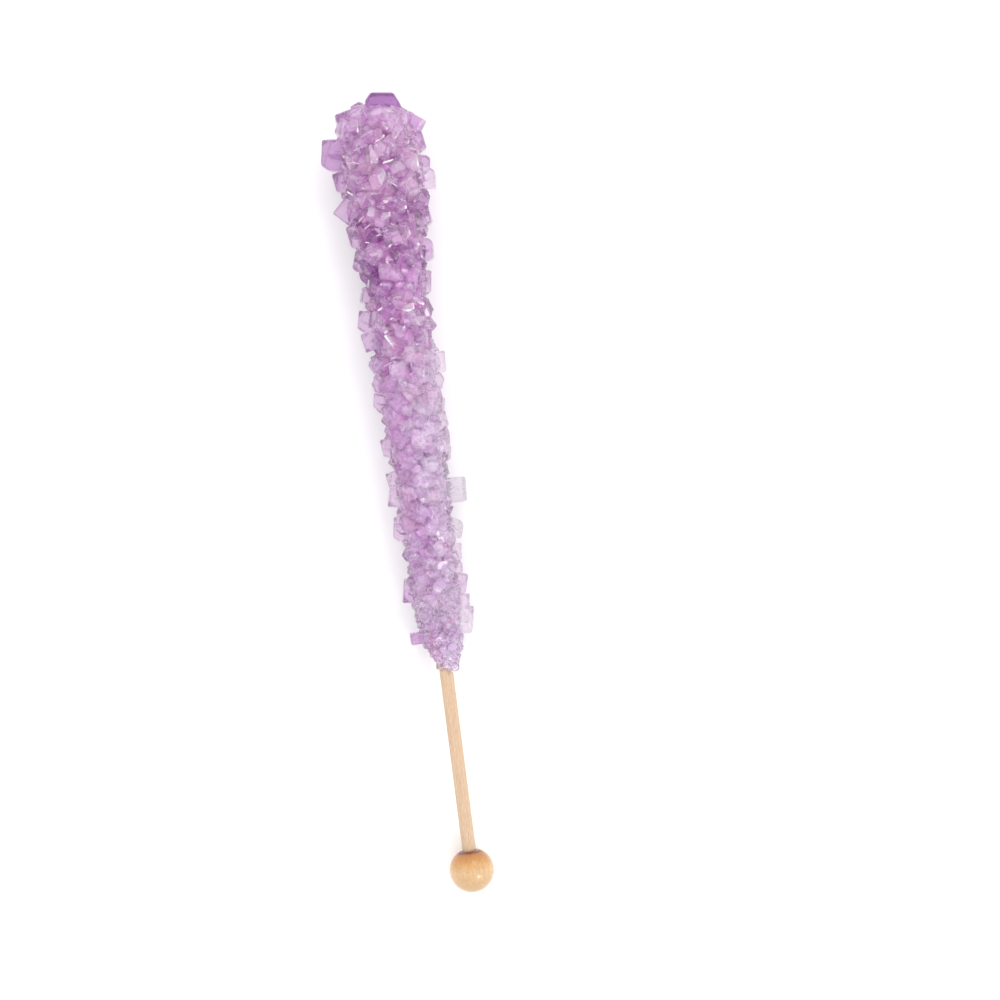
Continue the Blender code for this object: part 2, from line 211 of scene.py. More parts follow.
# Crystals that stand out: habit, distance from the tip, angle round the stick (0 up, 90 right), reach from
# the line, size along, across and outward, lean towards the handle, and tone (0 deep lavender, 1 colourless).
# the crystals on the right (angle near 90) have paler tones: partly their own colour, partly painted light from
# the right
standing = (
    ("block", 6.8, 80, 10.9, 5.2, 4.4, 8.4, 37, 0.28),
    ("gem", 6.2, -84, 8.9, 6.5, 6.0, 7.0, 12, 0.28),
    ("chisel", 11.6, 86, 10.5, 4.6, 5.0, 6.0, -10, 0.26),
    ("gem", 12.4, -92, 12.9, 6.8, 5.4, 6.5, -8, 0.26),
    ("roof", 16.2, 100, 10.8, 3.6, 4.0, 5.0, 10, 0.3),
    ("chisel", 19.6, 84, 11.6, 4.8, 4.0, 6.0, 6, 0.62),
    ("gem", 18.3, -88, 11.0, 4.8, 4.5, 5.4, 10, 0.28),
    ("block", 24.4, -90, 11.7, 4.6, 4.4, 6.0, 45, 0.38),
    ("roof", 24.0, 92, 9.8, 3.6, 4.0, 5.0, 20, 0.36),
    ("gem", 28.2, 80, 9.7, 4.4, 4.0, 5.5, -6, 0.34),
    ("gem", 30.6, -84, 9.6, 5.4, 4.6, 5.0, 10, 0.38),
    ("roof", 35.2, 90, 9.2, 5.0, 4.0, 5.0, 6, 0.34),
    ("gem", 36.4, -96, 9.0, 4.6, 4.4, 5.0, -14, 0.34),
    ("gem", 42.4, 84, 8.0, 5.6, 4.2, 5.0, 8, 0.58),
    ("chisel", 43.8, -84, 8.5, 3.8, 4.0, 5.0, -16, 0.34),
    ("gem", 49.6, -90, 9.7, 4.8, 4.2, 6.0, -10, 0.38),
    ("clipped", 53.6, -94, 9.5, 4.2, 4.0, 5.4, 10, 0.38),
    ("block", 60.0, 88, 8.7, 4.6, 4.2, 5.4, 3, 0.78),
    ("chisel", 58.8, -82, 8.4, 3.4, 3.8, 4.8, 30, 0.38),
    ("roof", 63.2, -94, 8.3, 3.4, 3.6, 4.6, 18, 0.42),
    ("chisel", 63.8, 94, 7.8, 3.2, 3.6, 4.4, 20, 0.64),
    ("spear", 67.8, -86, 8.5, 4.6, 4.0, 5.0, -10, 0.42),
    ("block", 69.2, 82, 7.3, 3.0, 3.4, 4.0, 12, 0.7),
    ("gem", 73.0, 90, 7.5, 4.2, 3.8, 4.6, -10, 0.66),
    ("gem", 77.4, -90, 8.0, 4.4, 3.6, 5.0, 8, 0.44),
    ("roof", 79.6, 86, 7.3, 4.4, 3.6, 4.6, 12, 0.62),
    ("block", 88.4, 90, 9.6, 5.4, 4.6, 6.0, 4, 1.0),
    ("gem", 84.6, -88, 7.8, 4.0, 3.8, 5.0, 10, 0.5),
    ("clipped", 88.6, -92, 8.0, 4.6, 4.0, 5.2, -12, 0.5),
    ("gem", 95.8, -92, 7.9, 5.4, 3.6, 5.0, -8, 0.48),
    ("chisel", 96.6, 86, 7.9, 4.2, 3.4, 4.8, 18, 0.85),
    ("block", 101.8, 92, 6.9, 3.4, 3.4, 4.4, 6, 0.7),
    ("roof", 105.4, 84, 6.5, 3.0, 3.2, 4.0, 6, 0.54),
    ("gem", 109.0, 88, 7.5, 4.8, 3.6, 5.0, 16, 0.5),
    ("clipped", 109.6, -90, 7.5, 5.2, 4.0, 5.0, -10, 0.32),
    ("gem", 112.8, 84, 7.3, 3.0, 3.0, 4.4, 10, 0.56),
    ("clipped", 117.0, 90, 7.9, 6.0, 4.4, 5.4, 10, 0.85),
    ("block", 120.0, -90, 7.0, 2.6, 2.6, 4.6, 0, 0.16),
)
# Crystals of the tip: habit, place to the right of the line and above it, depth below the tip, size across,
# up and along, lean to the right, and tone.
tipmost = (
    ("crown", 2.2, 1.2, 0.0, 7.8, 6.0, 7.0, 7, 0.0),
    ("gem", -2.8, 2.6, 2.2, 5.0, 5.0, 6.0, -16, 0.25),
    ("clipped", 1.8, -4.4, 2.2, 5.4, 5.0, 6.0, 10, 0.4),
    ("gem", -3.6, -3.2, 2.8, 5.0, 4.6, 6.0, -22, 0.35),
    ("chisel", 5.0, 3.8, 3.2, 4.6, 4.4, 6.0, 28, 0.4),
)
# smaller ones over the crown's foot, in the same terms
overFoot = (
    ("roof", 0.4, 5.0, 3.2, 4.0, 4.6, 5.0, -8, 0.25),
    ("clipped", 3.2, 5.6, 3.6, 4.4, 4.0, 5.0, 20, 0.5),
)
# Crystals that lie on the table: place to the right, distance from the tip, reach below the line, and size
# across, along and up.
resting = (
    (3.3, 10.5, 10.2, 5.2, 4.6, 6.0),
    (-3.4, 17.0, 10.0, 5.0, 5.0, 6.0),
    (0.9, 26.0, 9.7, 5.0, 4.4, 6.0),
)
# how deep the lavender is along the candy: tone (second) at a distance from the tip (first)
toneAlong = (
    (0.0, 0.26), (7.0, 0.46), (15.0, 0.44), (24.0, 0.36), (32.0, 0.27), (42.0, 0.30), (54.0, 0.44),
    (63.0, 0.58), (74.0, 0.56), (88.0, 0.60), (99.0, 0.50), (110.0, 0.60), (121.0, 0.58), (128.8, 0.80),
)
# painted shade: how much deeper the tint is in the outline, where no crystals lie behind
paintedOutlineShade = ((0.0, 0.14), (12.0, 0.08), (40.0, 0.06), (90.0, 0.0), (128.8, 0.0))
# how frosted the crystals are along the candy
frostAlong = ((-9.0, 0.0), (38.0, 0.0), (66.0, 0.7), (105.0, 0.8), (123.0, 0.9), (128.8, 0.3))
# painted light and shade: how much paler the crystals are towards the right, where the key light falls, and
# deeper on the left
paintedLightRight = (
    (0.0, 0.04), (12.0, 0.0), (50.0, 0.05), (60.0, 0.14), (100.0, 0.14), (115.0, 0.06), (128.8, 0.05),
)


def between(ends, share):
    return ends[0] + share * (ends[1] - ends[0])


def along(points, distance):
    # the value at a distance from the tip, and how steeply it climbs there
    for (near, before), (far, after) in zip(points, points[1:]):
        if distance <= far:
            break
    return between((before, after), (distance - near) / (far - near)), math.atan2(after - before, far - near)


def modelCrystal(habit):
    # one crystal, a unit across: a block cut by the sides of its habit, then its edges worn off
    deselectAll()
    bpy.ops.mesh.primitive_cube_add(size=1.0)
    model = bpy.context.object
    model.name = "crystal " + habit
    bpy.ops.object.mode_set(mode="EDIT")
    for facing in habits[habit]:
        bpy.ops.mesh.select_all(action="SELECT")
        side = Vector(facing[:3]).normalized()
        model.update_from_editmode()
        reach = max(side.dot(point.co) for point in model.data.vertices)
        cut = side * reach * facing[3]
        bpy.ops.mesh.bisect(plane_co=cut, plane_no=side, use_fill=True, clear_outer=True)
    bpy.ops.mesh.select_all(action="SELECT")
    bpy.ops.mesh.bevel(offset=candy["wornEdge"], segments=1, affect="EDGES", material=1)
    bpy.ops.object.mode_set(mode="OBJECT")
    wornEdgeAndHighlight = model.data.attributes.new("wornEdgeAndHighlight", "FLOAT", "FACE")
    wornEdgeAndHighlight.data.foreach_set("value", [float(face.material_index) for face in model.data.polygons])
    model.data.polygons.foreach_set("material_index", [0] * len(model.data.polygons))
    return model


models = {habit: modelCrystal(habit) for habit in habits}
print("crystal models", {habit: len(model.data.polygons) for habit, model in models.items()})


def growCrystal(cluster, habit, size, turn, foot, outward, reach, tone):
    # a copy of the model at its size, leaning and turned, moved outward until its far end is at the reach
    lean = Matrix.Identity(4)
    lean[0][2] = math.tan(candy["lean"])
    crystal = models[habit].copy()
    crystal.data = models[habit].data.copy()
    crystal.data.transform(turn.to_4x4() @ lean @ Matrix.Diagonal((*size, 1.0)))
    farEnd = max(outward.dot(point.co) for point in crystal.data.vertices)
    crystal.data.transform(Matrix.Translation(foot + outward * (reach - farEnd)))
    faces = range(len(crystal.data.polygons))
    byFace, byReach = candy["faceTurn"]
    tones = [tone + candy["faceTone"] * math.sin(byFace * face + byReach * reach) for face in faces]
    tones = [min(max(value, 0.0), 1.0) for value in tones]
    frosts = [along(frostAlong, -foot.y)[0]] * len(faces)
    for name, values in (("tone", tones), ("frost", frosts)):
        mark = crystal.data.attributes.new(name, "FLOAT", "FACE")
        mark.data.foreach_set("value", values)
    cluster.objects.link(crystal)


def standOn(outward, tilt, swing, spin):
    # the turn that stands a crystal's long way on the outward line, then leans it
    alongLine = abs(outward.y) > 0.99
    back = Vector((0.0, 0.0, 1.0)) if alongLine else Vector((0.0, 1.0, 0.0))
    side = back.cross(outward).normalized()
    return Matrix((side, outward.cross(side), outward)).transposed() @ Euler((tilt, swing, spin)).to_matrix()


def growStanding(cluster, draw, toneDraw):
    for habit, distance, around, reach, long, wide, tall, lean, tone in standing:
        angle = math.radians(around)
        outward = Vector((math.sin(angle), 0.0, math.cos(angle)))
        turn = standOn(outward, math.radians(lean), draw.uniform(-candy["swing"], candy["swing"]), 0.0)
        foot = Vector((0.0, -distance, 0.0))
        # painted shade on the outline
        tone -= along(paintedOutlineShade, distance)[0]
        growCrystal(cluster, habit, (wide, long, tall), turn, foot, outward, reach, tone)
        for twin, share, out, spin, shift in candy["twins"]:
            size = (wide * share, long * share, tall * share)
            twinned = turn @ Euler((0.0, 0.0, spin)).to_matrix()
            growCrystal(cluster, twin, size, twinned, foot, outward, reach * out, tone + shift)
    toTip = Vector((0.0, 1.0, 0.0))
    swings = [draw.uniform(-candy["swing"], candy["swing"]) for crystal in tipmost]
    swings += [0.0] * len(overFoot)
    for swing, crystal in zip(swings, tipmost + overFoot):
        habit, side, height, below, wide, up, long, lean, tone = crystal
        turn = standOn(toTip, swing, -math.radians(lean), 0.0)
        foot = Vector((side, 0.0, height))
        growCrystal(cluster, habit, (wide, up, long), turn, foot, toTip, -below, tone)
    toTable = Vector((0.0, 0.0, -1.0))
    for side, distance, reach, wide, long, tall in resting:
        turn = standOn(toTable, 0.0, 0.0, draw.uniform(-candy["restingSpin"], candy["restingSpin"]))
        foot = Vector((side, -distance, 0.0))
        tone = along(toneAlong, distance)[0] + toneDraw.uniform(-candy["restingTone"], candy["restingTone"])
        growCrystal(cluster, "block", (wide, long, tall), turn, foot, toTable, reach, tone)


def growCrust(cluster, crust, draw, toneDraw):
    # crystals all round, a golden angle apart, finer towards the low end
    distance, around = crust["from"]
    end = crust.get("to", candy["length"] - crust["length"][1] / 2)
    while distance < end:
        share = distance / candy["length"]
        tall = between(crust["length"], share) * draw.uniform(*crust["spread"])
        habit = draw.choice(crustHabits)
        wide = tall * draw.uniform(*crust["width"])
        long = tall * draw.uniform(*crust.get("thickness", crust["width"]))
        radius, facing = along(candy["profile"], distance)
        roundStick = Vector((math.sin(around), 0.0, math.cos(around)))
        outward = roundStick * math.cos(facing) + Vector((0.0, math.sin(facing), 0.0))
        turn = standOn(
            outward,
            draw.uniform(-crust["tilt"], crust["tilt"]),
            draw.uniform(-crust["tilt"], crust["tilt"]),
            draw.uniform(0.0, math.tau),
        )
        aside = along(candy["aside"], distance)[0]
        foot = roundStick * radius * crust["share"] + Vector((aside, -distance, 0.0))
        toneSpread = between(crust["toneSpread"], share)
        tone = along(toneAlong, distance)[0] + toneDraw.uniform(-toneSpread, toneSpread) + crust["tone"]
        # painted light on the right side and painted shade on the left
        tone += along(paintedLightRight, distance)[0] * roundStick.x
        # painted shade in the outline
        tone -= along(paintedOutlineShade, distance)[0] * roundStick.x**2
        rise = draw.uniform(*crust["rise"])
        growCrystal(cluster, habit, (wide, long, tall), turn, foot, outward, rise, tone)
        roundabout = math.tau * max(radius * crust["share"], candy["leastRadius"])
        distance += between(crust["spacing"], share) ** 2 * math.cos(facing) / roundabout
        around += candy["goldenAngle"]


def grownTogether(cluster, name):
    # all the cluster's crystals united into one closed body, laid on the stick's line
    first = cluster.objects[0]
    cluster.objects.unlink(first)
    bpy.context.scene.collection.objects.link(first)
    pick(first)
    union = first.modifiers.new("grown together", "BOOLEAN")
    union.operation = "UNION"
    union.solver = "MANIFOLD"
    union.operand_type = "COLLECTION"
    union.collection = cluster
    bpy.ops.object.modifier_apply(modifier="grown together")
    for crystal in list(cluster.objects):
        bpy.data.objects.remove(crystal)
    bpy.data.collections.remove(cluster)
    first.name = name
    first.matrix_world = stickPlace @ Matrix.Scale(mm, 4)
    settle(first)
    return first


def newCluster(name):
    cluster = bpy.data.collections.new(name)
    bpy.context.scene.collection.children.link(cluster)
    return cluster


# The crust as the solid has it, then finer crystals in its gaps. "from" is the first crystal's distance and
# angle. Spacing, length and toneSpread are given for the tip and the low end. Spread, width, thickness and
# rise are the least and the most.
crust = {
    "from": (1.6, 0.0),
    "spacing": (5.9, 4.3),
    "length": (6.2, 4.1),
    "spread": (0.80, 1.15),
    "width": (0.60, 0.85),
    "rise": (-0.5, 0.7),
    "tilt": math.radians(34.0),
    "share": 1.0,
    "tone": 0.0,
    "toneSpread": (0.19, 0.14),
}
gaps = {
    "seed": 23,
    "from": (2.6, 1.0),
    "spacing": (3.8, 2.8),
    "length": (3.6, 2.6),
    "spread": (0.7, 1.2),
    "width": (0.55, 0.9),
    "rise": (-0.9, 0.35),
    "tilt": math.radians(50.0),
    "share": 1.0,
    "tone": -0.03,
    "toneSpread": (0.19, 0.14),
}
# fine grains at the low end, where the dowel comes out
grains = {
    "seed": 47,
    "from": (109.0, 0.5),
    "spacing": (2.2, 1.5),
    "length": (2.6, 1.5),
    "spread": (0.7, 1.3),
    "width": (0.6, 0.95),
    "rise": (-0.25, 0.45),
    "tilt": math.radians(60.0),
    "share": 1.0,
    "tone": 0.08,
    "toneSpread": (0.2, 0.2),
}
toneDraw = random.Random(5)
draw = random.Random(candy["seed"])
outer = newCluster("outer crystals")
growStanding(outer, draw, toneDraw)
growCrust(outer, crust, draw, toneDraw)
growCrust(outer, gaps, random.Random(gaps["seed"]), toneDraw)
growCrust(outer, grains, random.Random(grains["seed"]), toneDraw)
count = len(outer.objects)
crystals = grownTogether(outer, "sugar_crystals")
print("outer crystals", count, "faces", len(crystals.data.polygons))

# the cloudy crystals underneath, round the dowel
heart = {
    "seed": 31,
    "from": (5.0, 0.0),
    "spacing": (2.6, 2.2),
    "length": (4.2, 3.0),
    "spread": (0.8, 1.2),
    "width": (0.5, 0.8),
    "rise": (-0.6, 0.3),
    "tilt": math.radians(40.0),
    "share": 0.76,
    "to": 127.0,
    "tone": 0.0,
    "toneSpread": (0.30, 0.13),
    "root": 0.42,  # share of the candy's radius that the mass at the root of the crystals takes
    "leastRoot": 2.0,
    "rootInset": 2.0,  # from the first and last distance of the crystals
    "rootTone": 0.3,
    "rootRings": 16,
    "rootSides": 12,
}

# thin cracks that stand up from the heart into the clear crystals, painted near white as glints of light
paintedGlintCracks = {
    "seed": 59,
    "from": (4.0, 2.0),
    "spacing": (3.6, 4.6),
    "length": (3.2, 2.2),
    "spread": (0.6, 1.3),
    "width": (0.2, 0.5),
    "thickness": (0.04, 0.07),
    "rise": (-0.9, 0.0),
    "tilt": math.radians(75.0),
    "share": 0.96,
    # painted glint: near white
    "tone": 0.8,
    "toneSpread": (0.2, 0.2),
    "to": 62.0,
}

# cloudy grains where the candy ends on the dowel
sleeve = {
    "seed": 71,
    "from": (119.0, 0.3),
    "spacing": (1.5, 1.1),
    "length": (1.9, 1.3),
    "spread": (0.7, 1.2),
    "width": (0.6, 0.95),
    "rise": (-0.4, -0.05),
    "tilt": math.radians(55.0),
    "share": 0.95,
    "tone": -0.12,
    "toneSpread": (0.2, 0.2),
    "to": 127.9,
}


def rootMass():
    # rings drawn out one after another down the candy, from a filled circle at the tip
    first = heart["from"][0] + heart["rootInset"]
    step = (heart["to"] - heart["rootInset"] - first) / (heart["rootRings"] - 1)
    distances = [first + step * ring for ring in range(heart["rootRings"])]
    radii = [along(candy["profile"], distance)[0] * heart["root"] for distance in distances]
    radii = [max(radius, heart["leastRoot"]) for radius in radii]
    deselectAll()
    bpy.ops.mesh.primitive_circle_add(vertices=heart["rootSides"], radius=radii[0], fill_type="NGON")
    mass = bpy.context.object
    bpy.ops.object.mode_set(mode="EDIT")
    bpy.ops.mesh.select_all(action="SELECT")
    for ring in range(1, heart["rootRings"]):
        bpy.ops.mesh.extrude_region_move(TRANSFORM_OT_translate={"value": (0.0, 0.0, step)})
        swell = radii[ring] / radii[ring - 1]
        bpy.ops.transform.resize(value=(swell, swell, 1.0), center_override=(0.0, 0.0, step * ring))
    bpy.ops.mesh.select_all(action="SELECT")
    bpy.ops.mesh.normals_make_consistent(inside=False)
    bpy.ops.object.mode_set(mode="OBJECT")
    mass.data.transform(Matrix.Translation((0.0, -first, 0.0)) @ Matrix.Rotation(math.pi / 2, 4, "X"))
    for name, value in (("wornEdgeAndHighlight", 0.0), ("tone", heart["rootTone"]), ("frost", 0.0)):
        mark = mass.data.attributes.new(name, "FLOAT", "FACE")
        mark.data.foreach_set("value", [value] * len(mass.data.polygons))
    return mass


inner = newCluster("inner crystals")
root = rootMass()
bpy.context.collection.objects.unlink(root)
inner.objects.link(root)
growCrust(inner, heart, random.Random(heart["seed"]), toneDraw)
growCrust(inner, paintedGlintCracks, random.Random(paintedGlintCracks["seed"]), toneDraw)
growCrust(inner, sleeve, random.Random(sleeve["seed"]), toneDraw)
count = len(inner.objects)
cloudy = grownTogether(inner, "sugar_heart")
print("inner crystals", count, "faces", len(cloudy.data.polygons))
for model in models.values():
    bpy.data.objects.remove(model)

cutAtTable(crystals)
cutAtTable(cloudy)

# Rock sugar: sucrose grown slowly from a dyed syrup into blocks. The crystals are clear with a faint cloud of
# trapped syrup, their flats smooth and their edges dulled by handling and painted paler as a highlight. Sizes
# are in mm.
sugarLook = {
    "ior": 1.45,
    "transmission": 0.86,
    "tones": (
        (0.0, "#B27EBC"), (0.12, "#D0A6D5"), (0.28, "#EBCFED"),
        (0.5, "#F7E7F7"), (0.8, "#F7EEF7"), (1.0, "#E7E3E8"),
    ),
    "cloudSize": 1.3,
    "cloudDetail": 4.0,
    "cloudRoughness": 0.6,
    "cloudEdges": (0.35, 0.7),  # where a cloud begins and where it is full
    "cloud": 0.25,
    "roughness": (0.0, 0.07),
    # painted highlight: how much paler the worn edges are
    "paintedEdgeHighlight": 0.5,
    "wornRoughness": 0.4,
    "frostRoughness": 0.28,
    "absorption": ("#E7BFEC", 25.0),  # the syrup's dye, and its density for each metre
    "bumpSize": 0.7,
    "bumpDetail": 5.0,
    "bumpDepth": 0.1,
    "bump": 1.0,
}
# The same sugar where many small crystals have grown into one another, which makes it white and cloudy.
heartLook = {
    "tones": ((0.0, "#C882CC"), (0.3, "#E6AEE3"), (0.6, "#F1D9F1"), (1.0, "#FCFAFC")),
    "lilac": ((0.0, "#FFFFFF"), (1.0, "#F5F8FF")),  # the frosted end's hue against the tip's
    "blushSize": 5.0,
    "blushDetail": 2.0,
    "blush": ((0.50, "#FFFFFF"), (0.66, "#FCE6F0")),
    "grain": 0.45,  # the small crystals that the cloud is made of
    "grainDetail": 3.0,
    "grainTones": ((0.34, 0.74), (0.58, 1.1)),
    "roughness": 0.35,
}


def clearSugar():
    material, tree, shader = newMaterial("clear rock sugar")
    place = addNode(tree, "ShaderNodeTexCoord").outputs["Object"]
    tone = addNode(tree, "ShaderNodeAttribute", {"attribute_name": "tone"}).outputs["Fac"]
    wornEdgeAndHighlight = addNode(tree, "ShaderNodeAttribute", {"attribute_name": "wornEdgeAndHighlight"}).outputs["Fac"]
    frost = addNode(tree, "ShaderNodeAttribute", {"attribute_name": "frost"}).outputs["Fac"]
    cloud = addNode(
        tree,
        "ShaderNodeTexNoise",
        {},
        {
            "Vector": place,
            "Scale": 1 / (sugarLook["cloudSize"] * mm),
            "Detail": sugarLook["cloudDetail"],
            "Roughness": sugarLook["cloudRoughness"],
        },
    ).outputs["Fac"]
    shift = addNode(
        tree, "ShaderNodeMath", {"operation": "MULTIPLY_ADD"}, {0: cloud, 1: sugarLook["cloud"], 2: tone}
    )
    centred = addNode(
        tree, "ShaderNodeMath", {"operation": "SUBTRACT"}, {0: shift.outputs[0], 1: sugarLook["cloud"] / 2}
    )
    # painted highlight: the worn edges made paler, as thin light lines
    withEdgeHighlight = addNode(
        tree,
        "ShaderNodeMath",
        {"operation": "MULTIPLY_ADD"},
        {0: wornEdgeAndHighlight, 1: sugarLook["paintedEdgeHighlight"], 2: centred.outputs[0]},
    )
    ramp = addNode(tree, "ShaderNodeValToRGB", {}, {"Fac": withEdgeHighlight.outputs[0]})
    setRamp(ramp, sugarLook["tones"])
    tree.links.new(ramp.outputs["Color"], shader.inputs["Base Color"])
    dull = addNode(
        tree,
        "ShaderNodeMapRange",
        {},
        {
            "Value": cloud,
            "From Min": sugarLook["cloudEdges"][0],
            "From Max": sugarLook["cloudEdges"][1],
            "To Min": sugarLook["roughness"][0],
            "To Max": sugarLook["roughness"][1],
        },
    )
    frosted = addNode(
        tree,
        "ShaderNodeMath",
        {"operation": "MULTIPLY_ADD"},
        {0: frost, 1: sugarLook["frostRoughness"], 2: dull.outputs["Result"]},
    )
    rough = addNode(
        tree,
        "ShaderNodeMath",
        {"operation": "MULTIPLY_ADD"},
        {0: wornEdgeAndHighlight, 1: sugarLook["wornRoughness"], 2: frosted.outputs[0]},
    )
    tree.links.new(rough.outputs[0], shader.inputs["Roughness"])
    ripple = addNode(
        tree,
        "ShaderNodeTexNoise",
        {},
        {"Vector": place, "Scale": 1 / (sugarLook["bumpSize"] * mm), "Detail": sugarLook["bumpDetail"]},
    )
    bump = addNode(
        tree,
        "ShaderNodeBump",
        {},
        {
            "Height": ripple.outputs["Fac"],
            "Strength": sugarLook["bump"],
            "Distance": sugarLook["bumpDepth"] * mm,
        },
    )
    tree.links.new(bump.outputs["Normal"], shader.inputs["Normal"])
    colour, density = sugarLook["absorption"]
    dye = {"Color": colourOf(colour), "Density": density}
    inside = addNode(tree, "ShaderNodeVolumeAbsorption", {}, dye)
    tree.links.new(inside.outputs["Volume"], tree.nodes["Material Output"].inputs["Volume"])
    shader.inputs["IOR"].default_value = sugarLook["ior"]
    shader.inputs["Transmission Weight"].default_value = sugarLook["transmission"]
    return material


def cloudySugar():
    material, tree, shader = newMaterial("cloudy rock sugar")
    tone = addNode(tree, "ShaderNodeAttribute", {"attribute_name": "tone"}).outputs["Fac"]
    frost = addNode(tree, "ShaderNodeAttribute", {"attribute_name": "frost"}).outputs["Fac"]
    ramp = addNode(tree, "ShaderNodeValToRGB", {}, {"Fac": tone})
    setRamp(ramp, heartLook["tones"])
    hue = addNode(tree, "ShaderNodeValToRGB", {}, {"Fac": frost})
    setRamp(hue, heartLook["lilac"])
    place = addNode(tree, "ShaderNodeTexCoord").outputs["Object"]
    patches = addNode(
        tree,
        "ShaderNodeTexNoise",
        {},
        {"Vector": place, "Scale": 1 / (heartLook["blushSize"] * mm), "Detail": heartLook["blushDetail"]},
    )
    blush = addNode(tree, "ShaderNodeValToRGB", {}, {"Fac": patches.outputs["Fac"]})
    setRamp(blush, heartLook["blush"])
    specks = addNode(
        tree,
        "ShaderNodeTexNoise",
        {},
        {"Vector": place, "Scale": 1 / (heartLook["grain"] * mm), "Detail": heartLook["grainDetail"]},
    )
    grainy = addNode(tree, "ShaderNodeValToRGB", {}, {"Fac": specks.outputs["Fac"]})
    setRamp(grainy, heartLook["grainTones"])
    lilac = shaded(tree, ramp.outputs["Color"], hue.outputs["Color"])
    blushing = shaded(tree, lilac, blush.outputs["Color"])
    tree.links.new(shaded(tree, blushing, grainy.outputs["Color"]), shader.inputs["Base Color"])
    shader.inputs["Roughness"].default_value = heartLook["roughness"]
    return material


finishPiece(crystals, "rock_candy", clearSugar())
finishPiece(cloudy, "rock_candy", cloudySugar())

# The ball, in mm: a flat turned round the mouth of its hole. The dowel has the same kind of rounded edge.
ball = {
    "segments": 96,
    "rings": 64,
    "mouth": 4.38,  # from the centre to the flat
    "hole": 1.56,
    "depth": 6.2,
    "edge": 0.12,
    "edgeAngle": math.radians(20.0),
}
dowel = {"sides": 64, "edge": 0.3, "edgeAngle": math.radians(40.0)}
edgeSteps = 3
smoothAngle = math.radians(35.0)


def roundOff(piece, look):
    # the sharp edges rounded, then smooth shading up to the ones that stay
    pick(piece)
    rounding = piece.modifiers.new("rounding", "BEVEL")
    rounding.width = look["edge"] * mm
    rounding.segments = edgeSteps
    rounding.limit_method = "ANGLE"
    rounding.angle_limit = look["edgeAngle"]
    bpy.ops.object.modifier_apply(modifier="rounding")
    bpy.ops.object.shade_smooth_by_angle(angle=smoothAngle)


def turnedBall():
    deselectAll()
    bpy.ops.mesh.primitive_uv_sphere_add(
        segments=ball["segments"], ring_count=ball["rings"], radius=ballRadius
    )
    piece = bpy.context.object
    piece.name = "varnished_ball"
    bpy.ops.object.mode_set(mode="EDIT")
    bpy.ops.mesh.select_all(action="SELECT")
    flat = (0.0, 0.0, ball["mouth"] * mm)
    bpy.ops.mesh.bisect(
        plane_co=flat, plane_no=(0.0, 0.0, 1.0), use_fill=True, clear_outer=True, threshold=samePlace
    )
    bpy.ops.mesh.select_mode(type="FACE")
    mouthRadius = math.sqrt(ballRadius**2 - flat[2] ** 2)
    bpy.ops.mesh.inset(thickness=mouthRadius - ball["hole"] * mm)
    bpy.ops.mesh.extrude_region_move(TRANSFORM_OT_translate={"value": (0.0, 0.0, -ball["depth"] * mm)})
    bpy.ops.object.mode_set(mode="OBJECT")
    roundOff(piece, ball)
    piece.matrix_world = ballPlace
    settle(piece)
    cutAtTable(piece)
    return piece


def dowelRod():
    reach = (dowelHigh.y - dowelLow.y - 2 * dowelRadius * alongStick.z) / alongStick.y
    deselectAll()
    bpy.ops.mesh.primitive_cylinder_add(
        vertices=dowel["sides"], radius=dowelRadius, depth=reach, location=(0.0, 0.0, dowelMiddle)
    )
    piece = bpy.context.object
    piece.name = "birch_dowel"
    settle(piece)
    roundOff(piece, dowel)
    piece.matrix_world = ballPlace
    settle(piece)
    return piece


# Birch, turned and sanded, with its fibres along the stick. The ball has an amber varnish over it: darkest in
# the mouth, where it pooled in the cut fibres and where painted shade falls round the dowel, paler towards
# the middle and a little darker again at the lower end. It gives a wet highlight.
birch = {
    "fibre": (0.08, 1.1, 3.0),  # mm across and along, and detail
    "streak": (0.30, 14.0, 2.0),
    "streaks": 0.35,  # their share beside the fibres
    "tones": ((0.3, "#AF9076"), (0.5, "#C6A88B"), (0.7, "#D4BEA4")),
    "roughness": 0.62,
    "relief": 0.25,
    "reliefDepth": 0.05,
}
varnish = {
    "tones": (
        # the first stops, dark brown round the mouth, are partly the pooled varnish and partly painted shade
        # round the dowel
        (0.0, "#6E2E0C"), (0.034, "#78330E"), (0.050, "#A86526"), (0.10, "#B57532"),
        (0.26, "#C59152"), (0.46, "#CFA97B"), (1.0, "#BC9566"),
    ),
    "wander": 0.016,  # how far the tones stray along the ball, as a share of it
    "wanderSize": 1.6,
    "wanderDetail": 2.0,
    "fleck": (0.11, 0.75, 1.0),
    "fleckTones": ((0.30, 0.72), (0.46, 1.0)),
    "grain": (0.5, 9.0, 3.0),
    "grainTones": ((0.3, 0.88), (0.7, 1.06)),
    "roughness": 0.38,
    "coat": 0.6,
    "coatRoughness": 0.14,
}


def woodPlace(tree):
    # the place along the stick as Z, measured from the ball's centre
    place = addNode(tree, "ShaderNodeTexCoord").outputs["Object"]
    return addNode(
        tree,
        "ShaderNodeMapping",
        {"vector_type": "TEXTURE"},
        {"Vector": place, "Location": ballCentre, "Rotation": ballPlace.to_euler()},
    ).outputs["Vector"]


def fibres(tree, place, size):
    # noise drawn out along the wood
    across, lengthways, detail = size
    scale = (1 / across / mm, 1 / across / mm, 1 / lengthways / mm)
    drawn = addNode(tree, "ShaderNodeMapping", {}, {"Vector": place, "Scale": scale}).outputs["Vector"]
    noise = addNode(tree, "ShaderNodeTexNoise", {}, {"Vector": drawn, "Scale": 1.0, "Detail": detail})
    return noise.outputs["Fac"]


